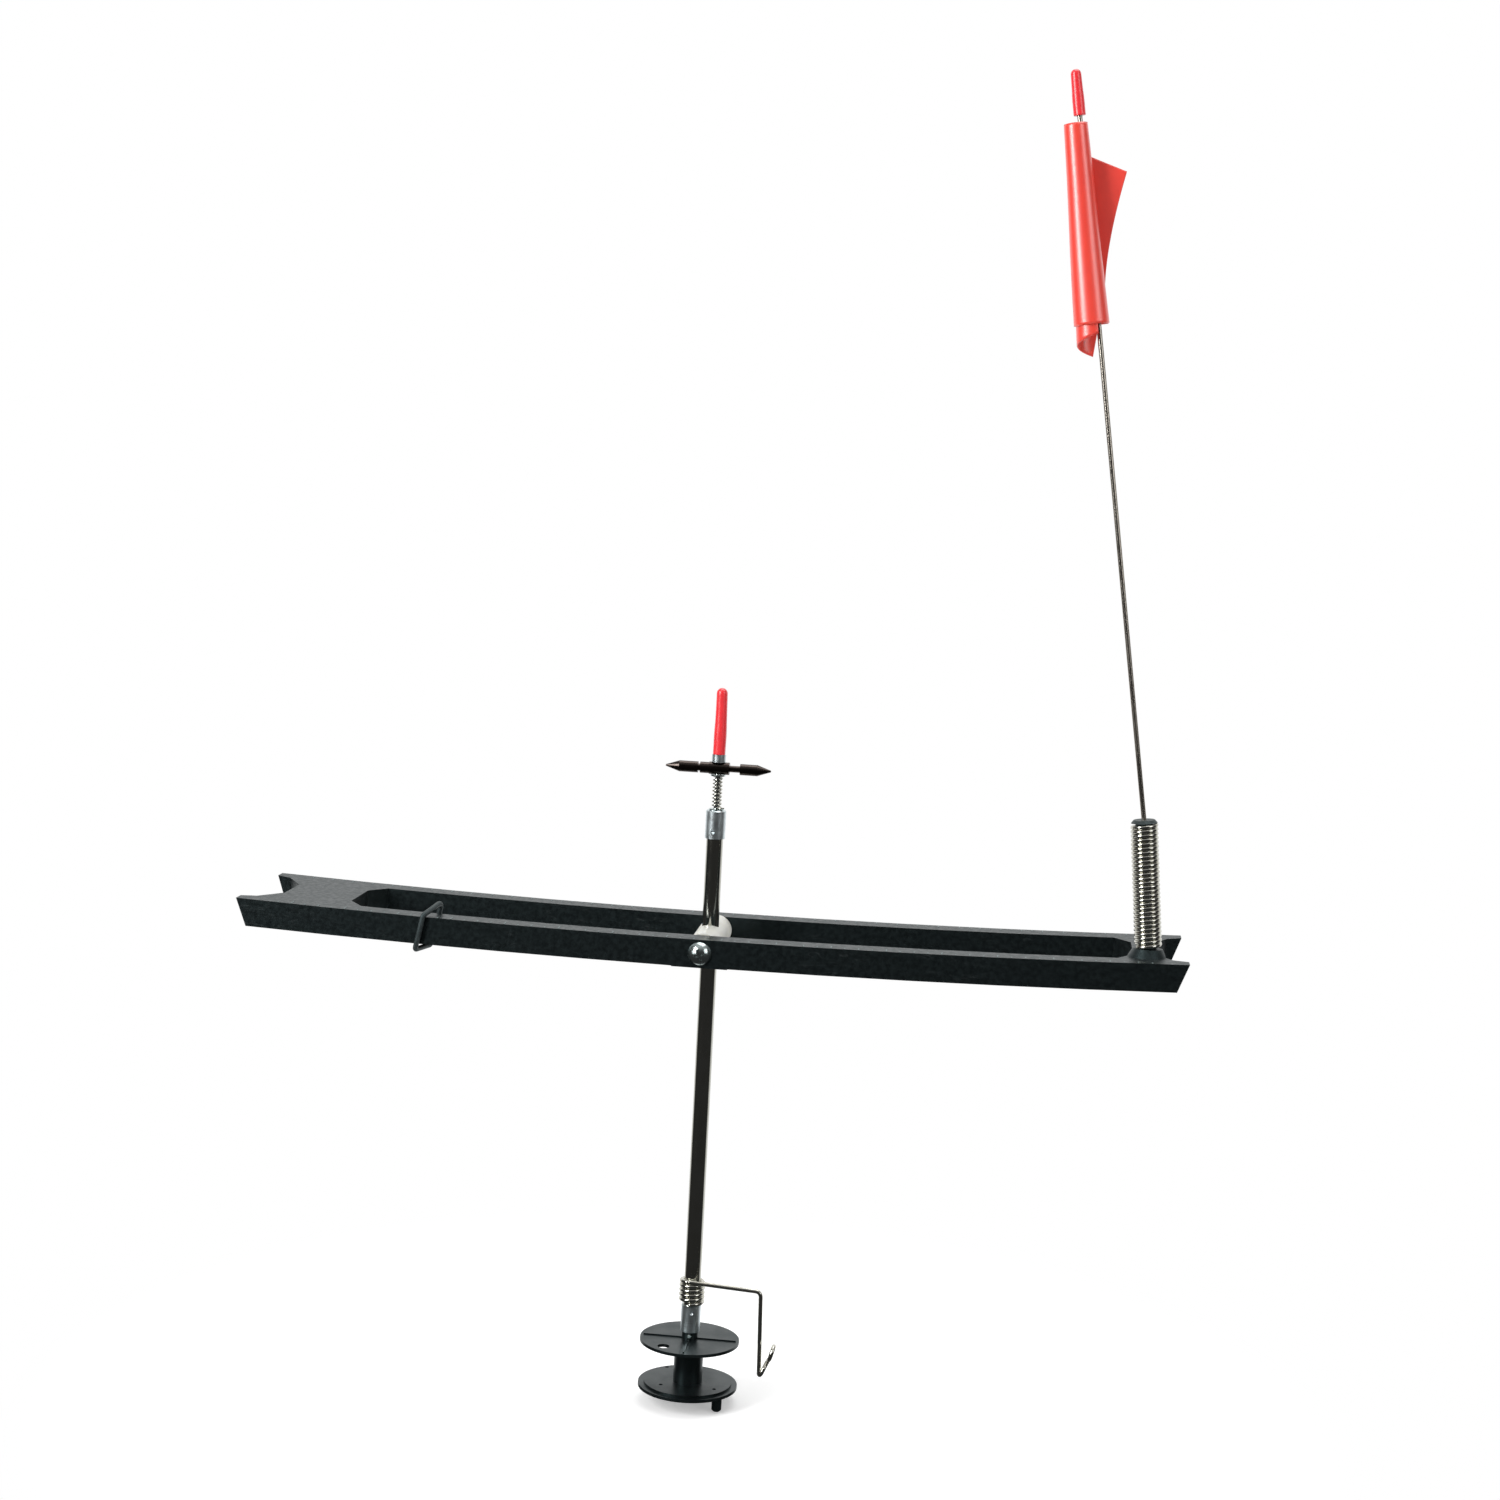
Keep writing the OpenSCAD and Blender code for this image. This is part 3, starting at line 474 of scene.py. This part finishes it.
plug_plastic = plastic("grey_plug_plastic", (0.02, 0.022, 0.022), (0.035, 0.04, 0.04),
                       (0.4, 0.55))


FINISHES = {
    "frame": frame_plastic, "pivot_barrel": nylon, "pivot_screws": zinc, "tube": tube_steel,
    "top_bushing": bushing_alloy, "bottom_bushing": bushing_alloy, "lower_washer": zinc,
    "upper_washer": zinc, "spindle": spindle_steel, "trip_bar": dark_plate,
    "trip_collar": bushing_alloy, "spool": spool_plastic, "spool_pin": zinc,
    "spool_base": spool_plastic, "push_nut": zinc, "crank_knob": spool_plastic,
    "flag_plug": plug_plastic, "flag_staff": staff_steel}


def dress(name, material):
    """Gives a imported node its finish."""
    obj = nodes[name]
    obj.data.materials.clear()
    obj.data.materials.append(material)


for piece, finish in FINISHES.items():
    dress(piece, finish)


# ---- Sizes shared by the new pieces, in millimetres ---------------------------------------

PIVOT_Z = 6.6
FRAME_MID, FRAME_HALF, FRAME_W, FRAME_H, FRAME_BOW = 1.5, 221.5, 76.0, 13.2, 4.4
RAIL_W, BAND_X = 11.8, -129.5
ARC_R = FRAME_HALF ** 2 / (2 * FRAME_BOW) + FRAME_BOW / 2
TUBE_D, TUBE_TOP, TUBE_FOOT = 7.94, PIVOT_Z + 55.5, PIVOT_Z - 185.6
SPINDLE_D, BUSHING_GRIP, BUSHING_RISE = 2.8, 6.8, 6.7
FACE_GAP, WASHER_T, DRAG_L = 0.1, 0.6, 15.6
BAR_HUB_D, COLLAR_H, CAP_L = 5.9, 3.6, 31.5
DRAG_FOOT = TUBE_TOP + BUSHING_RISE + WASHER_T
DRAG_TOP = DRAG_FOOT + DRAG_L
CAP_Z = DRAG_TOP + WASHER_T + FACE_GAP + BAR_HUB_D + COLLAR_H


def rise(x):
    """Height of the bowed frame over its lowest point."""
    return ARC_R - np.sqrt(ARC_R ** 2 - (np.asarray(x, float) - FRAME_MID) ** 2)


FLAG_X, FLAG_Y = FRAME_MID + FRAME_HALF - 18.2, -19.0
SPRING_Z = FRAME_H + float(rise(FLAG_X)) + 3.8
SPRING_D, SPRING_L, SPRING_LEAN = 12.8, 58.0, 5.6
STAFF_L, STAFF_LEAN, TIP_GRIP = 335.0, 9.0, 16.0
SPRING_TURN = lean(SPRING_LEAN)
STAFF_TURN = lean(STAFF_LEAN)
SPRING_FOOT = np.array([FLAG_X, FLAG_Y, SPRING_Z])
STAFF_FOOT = SPRING_FOOT + SPRING_TURN @ np.array([0, 0, SPRING_L])


# ---- Springs and wires --------------------------------------------------------------------

def helix(radius, z0, z1, turns, start, steps=40):
    """A coil about Z: the angle runs on evenly while the height climbs evenly."""
    t = np.linspace(0, 1, int(turns * steps) + 1)
    a = start + 2 * np.pi * turns * t
    return np.stack([radius * np.cos(a), radius * np.sin(a), z0 + (z1 - z0) * t], 1)


def flag_spring():
    """Close-wound spring on the boss: each turn lies on the one below."""
    wire, turns, end_gap = 1.96, 28.4, 0.05
    coil = helix((SPRING_D - wire) / 2, wire / 2 + end_gap, SPRING_L - wire / 2 - end_gap,
                 turns, math.radians(-150), 28)
    points = coil @ SPRING_TURN.T + SPRING_FOOT
    obj = sweep("flag_spring_wire", points * MM, wire / 2 * MM, spring_steel, None, 10)
    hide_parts("flag_spring")
    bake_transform(obj)


def drag_spring():
    """Small open spring round the spindle, with a short tail of wire at its foot."""
    wire, turns, gap, top_gap = 0.8, 8.6, 0.25, 0.05
    radius = SPINDLE_D / 2 + gap + wire / 2
    coil = helix(radius, DRAG_FOOT + wire / 2, DRAG_TOP - wire / 2 - top_gap, turns,
                 math.radians(-60), 30)
    tail = coil[0] + np.array([[2.6, -0.5, 0.15], [1.4, -0.35, 0.08], [0.6, -0.2, 0.02]])
    obj = sweep("drag_spring_wire", np.concatenate([tail, coil]) * MM, wire / 2 * MM,
                spring_steel, "tube", 10)
    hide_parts("drag_spring")
    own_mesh(obj)


def line_guide():
    """Bent wire guide: five turns round the tube, an arm, a leg, a hook and a small eye."""
    wire, half_solid, pitch, turns = 2.1, 0.9, 2.25, 5
    coil_gap, arm, leg, eye_r = 0.3, 34.0, 43.0, 3.4
    radius = TUBE_D / 2 + coil_gap + half_solid
    foot = TUBE_FOOT + BUSHING_GRIP + FACE_GAP + half_solid
    top = foot + turns * pitch
    coil = helix(radius, foot, top, turns, math.radians(-90), 36)
    out = -radius - 2.5
    start, elbow = np.array([0, -radius, top]), np.array([arm, out, top - 1])
    hook = np.array([arm + 1.2, out, top - leg])
    rise_to = np.array([arm + 5, out, top - leg + 7])
    up = np.array([0.2, 0, 1]) / math.hypot(0.2, 1)
    middle = rise_to + eye_r * up + np.array([0.4, 0, 2])
    a = np.radians(np.linspace(0, 300, 40))[:, None]
    eye = middle - eye_r * (np.cos(a) * up + np.sin(a) * np.array([0, 1.0, 0])) \
        + np.array([0.9, 0, 0]) * np.sin(a / 2)
    path = np.concatenate([coil[:-1], corner(coil[-2], start, elbow, 1.6),
                           np.linspace(start, elbow, 12)[2:-2], corner(start, elbow, hook, 2.6),
                           np.linspace(elbow, hook, 12)[2:-2],
                           corner(elbow, hook, rise_to, 2.4, 9), eye])
    obj = sweep("line_guide_wire", path * MM, wire / 2 * MM, spring_steel, "guide", 12)
    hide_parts("line_guide")


def rubber_band():
    """Loose rubber loop: straight down the rail's face, under it, and up over its inner
    edge in a round bend, skewed along the rail."""
    cord, gap, slack, room = 2.5, FACE_GAP, 3.2, 0.8
    w, h = RAIL_W / 2 + gap + cord / 2, FRAME_H / 2 + gap + cord / 2
    r = cord / 2 + gap
    wide = r + slack / 3
    loop = []
    for cy, cz, first, radius in ((w - wide + slack / 3, h - wide + slack, 0, wide),
                                  (r - w, h - r, 90, r), (r - w, r - h - room, 180, r),
                                  (w - r, r - h - room, 270, r)):
        a = np.radians(np.linspace(first, first + 90, 10))
        loop.append(np.stack([cy + radius * np.cos(a), cz + radius * np.sin(a)], 1))
    loop = np.concatenate(loop)
    rail_y = (FRAME_W - RAIL_W) / 2
    loop = np.stack([BAND_X + 0.2 * loop[:, 1] + 0.28 * loop[:, 0], loop[:, 0] - rail_y,
                     loop[:, 1] + FRAME_H / 2 + float(rise(BAND_X))], 1)
    obj = ring_sweep("rubber_loop", loop * MM, cord / 2 * MM, rubber, "band")
    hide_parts("rubber_band")


flag_spring()
drag_spring()
line_guide()
rubber_band()


# ---- Soft caps ----------------------------------------------------------------------------

def cap_profile(length, mouth, tip, swell, at):
    """Dipped cap: a slightly swollen sleeve with a rolled mouth and a domed end."""
    h = np.linspace(0.35, length - tip / 2, 26)
    base = mouth / 2 + (tip - mouth) / 2 * h / (length - tip / 2)
    r = base + swell * np.exp(-((h / length - at) / 0.16) ** 2)
    dome = np.radians(np.linspace(8, 82, 9))
    top = np.stack([tip / 2 * np.cos(dome), length - tip / 2 + tip / 2 * np.sin(dome)], 1)
    mouth_edge = [(0, 0), (mouth / 2 - 0.5, 0), (mouth / 2 - 0.12, 0.06), (mouth / 2, 0.2)]
    return np.concatenate([mouth_edge, np.stack([r, h], 1), top, [(0, length)]])


def spindle_cap():
    """Red dipped cap on top of the spindle, slightly bent."""
    sway = 0.14

    def bend(h):
        return np.stack([sway * MM * np.sin(h / (CAP_L * MM) * 3.0), 0 * h], 1)

    obj = revolve("spindle_cap_skin", cap_profile(CAP_L, 5.9, 5.2, 0.15, 0.3) * MM,
                  (0, 0, CAP_Z * MM), np.eye(3), red_vinyl, "spindle", 48, bend)
    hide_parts("spindle_cap")


def tip_cap():
    """Red dipped cap on the end of the flag's staff."""
    origin = STAFF_FOOT + STAFF_TURN @ np.array([0, 0, STAFF_L - TIP_GRIP])
    obj = revolve("flag_tip_skin", cap_profile(20.5, 5.5, 4.7, 0.12, 0.35) * MM, origin * MM,
                  STAFF_TURN, red_vinyl, "flag", 48)
    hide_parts("flag_tip_cap")


spindle_cap()
tip_cap()


# ---- Flag ---------------------------------------------------------------------------------

FLAG_H, FLAG_TAIL = 89.0, 14.0
FLAG_TOP_S = STAFF_L - TIP_GRIP - 3.3
FLAG_FOOT_S = FLAG_TOP_S - FLAG_H
WOUND, ROLL_START, ROLL_DEG, LAYER = 0.86, -70.0, 560.0, 0.9
ROLL_FOOT_R, ROLL_TOP_R, LOOSE_REACH = 7.9, 5.2, 15.2


def flag_sheet(u, v):
    """Rolled sheet. u runs along the sheet from its inner edge: up to WOUND it winds round
    the staff, its radius growing by a layer each turn, and then it leaves as a loose corner.
    v runs up the roll, which is a cone, wider at its foot."""
    foot = FLAG_FOOT_S - FLAG_TAIL * np.interp(u / WOUND, [0, 0.21, 0.35, 0.40],
                                               [0.3, 0.63, 1.0, 0.0])
    top = FLAG_TOP_S - 23 * np.clip((u - 0.72) / 0.28, 0, None)
    s = foot + (top - foot) * v
    h = (s - FLAG_FOOT_S) / FLAG_H
    w = np.clip(u / WOUND, None, 1)
    a = np.radians(ROLL_START - ROLL_DEG * w)
    r = ROLL_FOOT_R + (ROLL_TOP_R - ROLL_FOOT_R) * h - LAYER * (1 - w) * ROLL_DEG / 360 + 0.3
    loose = np.clip(u - WOUND, 0, None) / (1 - WOUND)
    out = loose * (0.92 * r + LOOSE_REACH * np.clip((h - 0.15) / 0.59, 0, 1) ** 1.45)
    shift = -1.9 - 1.1 * (1 - h)
    ripple = 0.12 * np.sin(h * 7.0 + a * 0.7) * (0.3 + 0.7 * w)
    x = (r + ripple) * np.cos(a) + shift + out
    y = (r + ripple) * np.sin(a) - 0.12 * out + 1.1 * loose ** 2 * np.clip(h, 0, 1)
    return np.stack([x, y, s], -1)


def flag():
    """The rolled flag: the sheet's middle surface with a thin wall given to both sides."""
    nu, nv = 300, 72
    u, v = np.meshgrid(np.linspace(0, 1, nu), np.linspace(0, 1, nv), indexing="ij")
    points = flag_sheet(u, v)
    points = points.reshape(-1, 3) @ STAFF_TURN.T + STAFF_FOOT
    uv = np.stack([u.ravel(), v.ravel()], 1)
    obj = mesh_piece("flag_sheet", points * MM, grid_faces(nu, nv, False), flag_vinyl, "flag",
                     uv=uv)
    wall = obj.modifiers.new("wall", "SOLIDIFY")
    wall.thickness = 0.45 * MM
    wall.offset = 0.0
    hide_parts("flag")


flag()


# ---- Scale marks on the rails -------------------------------------------------------------

def scale_marks(name, positions, lengths, side, width):
    """Thin raised strokes on a rail's top, running in from its outer edge. They are black plastic
    like the frame, and their light grey colour is a painted highlight.
    """
    inset, sunk, proud = 0.7, -0.05, 0.16
    positions, lengths = np.asarray(positions, float), np.asarray(lengths, float)
    edge = side * (FRAME_W / 2 - inset)
    y0, y1 = np.full(len(positions), edge), edge - side * lengths
    z = FRAME_H + rise(positions)
    corners = []
    for dx, yy, dz in ((-1, y0, sunk), (1, y0, sunk), (1, y1, sunk), (-1, y1, sunk),
                       (-1, y0, proud), (1, y0, proud), (1, y1, proud), (-1, y1, proud)):
        corners.append(np.stack([positions + dx * width / 2, yy, z + dz], 1))
    points = np.stack(corners, 1).reshape(-1, 3)
    block = np.array([[0, 3, 2, 1], [4, 5, 6, 7], [0, 1, 5, 4], [1, 2, 6, 5], [2, 3, 7, 6],
                      [3, 0, 4, 7]])
    if side > 0:
        block = block[:, ::-1]
    faces = (block[None] + 8 * np.arange(len(positions))[:, None, None]).reshape(-1, 4)
    # The marks' light grey colour is a painted highlight on raised black plastic.
    obj = mesh_piece(name, points * MM, faces, tick_painted_highlight, "frame", smooth=False)


def on_rail(x):
    """Marks stop short of the frame's slanted ends."""
    return (x > -206) & (x < 214)


INCH_ZERO, CENTIMETRE_ZERO = -41.3, -43
quarter = np.arange(-26, 40)
inch = INCH_ZERO + 25.4 * quarter / 4
keep = on_rail(inch)
scale_marks("inch_marks", inch[keep],
            np.where(quarter[keep] % 4 == 0, 5.0, np.where(quarter[keep] % 2 == 0, 3.2, 2.0)),
            -1, 0.5)
half = np.arange(-34, 54)
centi = CENTIMETRE_ZERO + 5.0 * half
keep = on_rail(centi)
scale_marks("centimetre_marks", centi[keep], np.where(half[keep] % 2 == 0, 4.2, 2.2), 1, 0.45)


# ---- Floor and light ----------------------------------------------------------------------

# Sine of the bearing over which reflections go from the dim room in front to white behind
BEHIND = (0.25, 0.62)


def floor_material():
    """Pale matt floor. Seen by the camera it goes to white away from the shadow; in
    reflections the part in front of the object is a dim room."""
    made, tree, shader = blank("pale_floor")
    tree.nodes.remove(shader)
    out = tree.nodes["Material Output"]
    body = node(tree, "ShaderNodeBsdfDiffuse", Color=(0.9, 0.9, 0.9, 1))
    lift = node(tree, "ShaderNodeEmission", Color=(1, 1, 1, 1), Strength=0.32)
    rays = node(tree, "ShaderNodeLightPath")
    own = node(tree, "ShaderNodeAddShader", {0: body.outputs[0], 1: lift.outputs[0]})
    seen = node(tree, "ShaderNodeMixShader", {0: rays.outputs["Is Camera Ray"],
                1: body.outputs[0], 2: own.outputs[0]})
    spot = node(tree, "ShaderNodeNewGeometry")
    split = node(tree, "ShaderNodeSeparateXYZ", {0: spot.outputs["Position"]})
    flat = node(tree, "ShaderNodeCombineXYZ", {0: split.outputs[0], 1: split.outputs[1]})
    reach = node(tree, "ShaderNodeVectorMath", {0: flat.outputs[0]}, operation="LENGTH")
    front = ramp(tree, math_node(tree, "DIVIDE", split.outputs["Y"],
                                 reach.outputs["Value"]), *BEHIND)
    level = math_node(tree, "ADD", math_node(tree, "MULTIPLY", front, 0.9), 0.03)
    gloss = node(tree, "ShaderNodeEmission", {"Strength": level}, Color=(1, 1, 1, 1))
    white = node(tree, "ShaderNodeEmission", Color=(1, 1, 1, 1), Strength=1.0)
    far = math_node(tree, "MULTIPLY", ramp(tree, reach.outputs["Value"], 0.10, 0.32),
                    rays.outputs["Is Camera Ray"])
    faded = node(tree, "ShaderNodeMixShader", {0: far, 1: seen.outputs[0],
                 2: white.outputs[0]})
    final = node(tree, "ShaderNodeMixShader", {0: rays.outputs["Is Glossy Ray"],
                 1: faded.outputs[0], 2: gloss.outputs[0]})
    tree.links.new(final.outputs[0], out.inputs["Surface"])
    return made


def world():
    """White behind the object and dim in front of it for reflections; white for the view."""
    made = bpy.data.worlds.new("studio")
    scene.world = made
    made.use_nodes = True
    tree = made.node_tree
    tree.nodes.clear()
    place = node(tree, "ShaderNodeTexCoord")
    split = node(tree, "ShaderNodeSeparateXYZ", {0: place.outputs["Generated"]})
    behind = ramp(tree, split.outputs["Y"], *BEHIND)
    above = ramp(tree, split.outputs["Z"], 0.45, 0.95)
    level = math_node(tree, "ADD", math_node(tree, "MULTIPLY", behind, 0.93), 0.03)
    level = math_node(tree, "MAXIMUM", level, math_node(tree, "MULTIPLY", above, 0.45))
    rays = node(tree, "ShaderNodeLightPath")
    gloss = node(tree, "ShaderNodeBackground", {"Strength": level}, Color=(1, 1, 1, 1))
    fill = node(tree, "ShaderNodeBackground", Color=(1, 1, 1, 1), Strength=0.42)
    white = node(tree, "ShaderNodeBackground", Color=(1, 1, 1, 1), Strength=1.0)
    a = node(tree, "ShaderNodeMixShader", {0: rays.outputs["Is Glossy Ray"],
             1: fill.outputs[0], 2: gloss.outputs[0]})
    b = node(tree, "ShaderNodeMixShader", {0: rays.outputs["Is Camera Ray"],
             1: a.outputs[0], 2: white.outputs[0]})
    out = node(tree, "ShaderNodeOutputWorld")
    tree.links.new(b.outputs[0], out.inputs["Surface"])


def lamp(name, place, aim, size, power):
    data = bpy.data.lights.new(name, "AREA")
    data.shape = "RECTANGLE"
    data.size, data.size_y = size
    data.energy = power
    obj = bpy.data.objects.new(name, data)
    obj.location = place
    obj.rotation_euler = (Vector(aim) - Vector(place)).to_track_quat("-Z", "Y").to_euler()
    scene.collection.objects.link(obj)


def stage():
    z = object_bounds()[0][2] - 0.0005
    size = 6.0
    points = np.array([[-size, -size, z], [size, -size, z], [size, size, z], [-size, size, z]])
    floor = mesh_piece("floor", points, [[0, 1, 2, 3]], floor_material(), None, smooth=False)
    floor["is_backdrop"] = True
    world()
    lamp("key", (-1.12, -1.05, 0.85), (0.05, 0, 0.55), (0.55, 1.35), 26)
    lamp("top", (0.2, 0.3, 1.9), (0.05, 0, 0.0), (1.6, 1.2), 18)
    lamp("fill", (1.7, -1.1, 0.9), (0.1, 0, 0.1), (0.9, 1.2), 8)


stage()
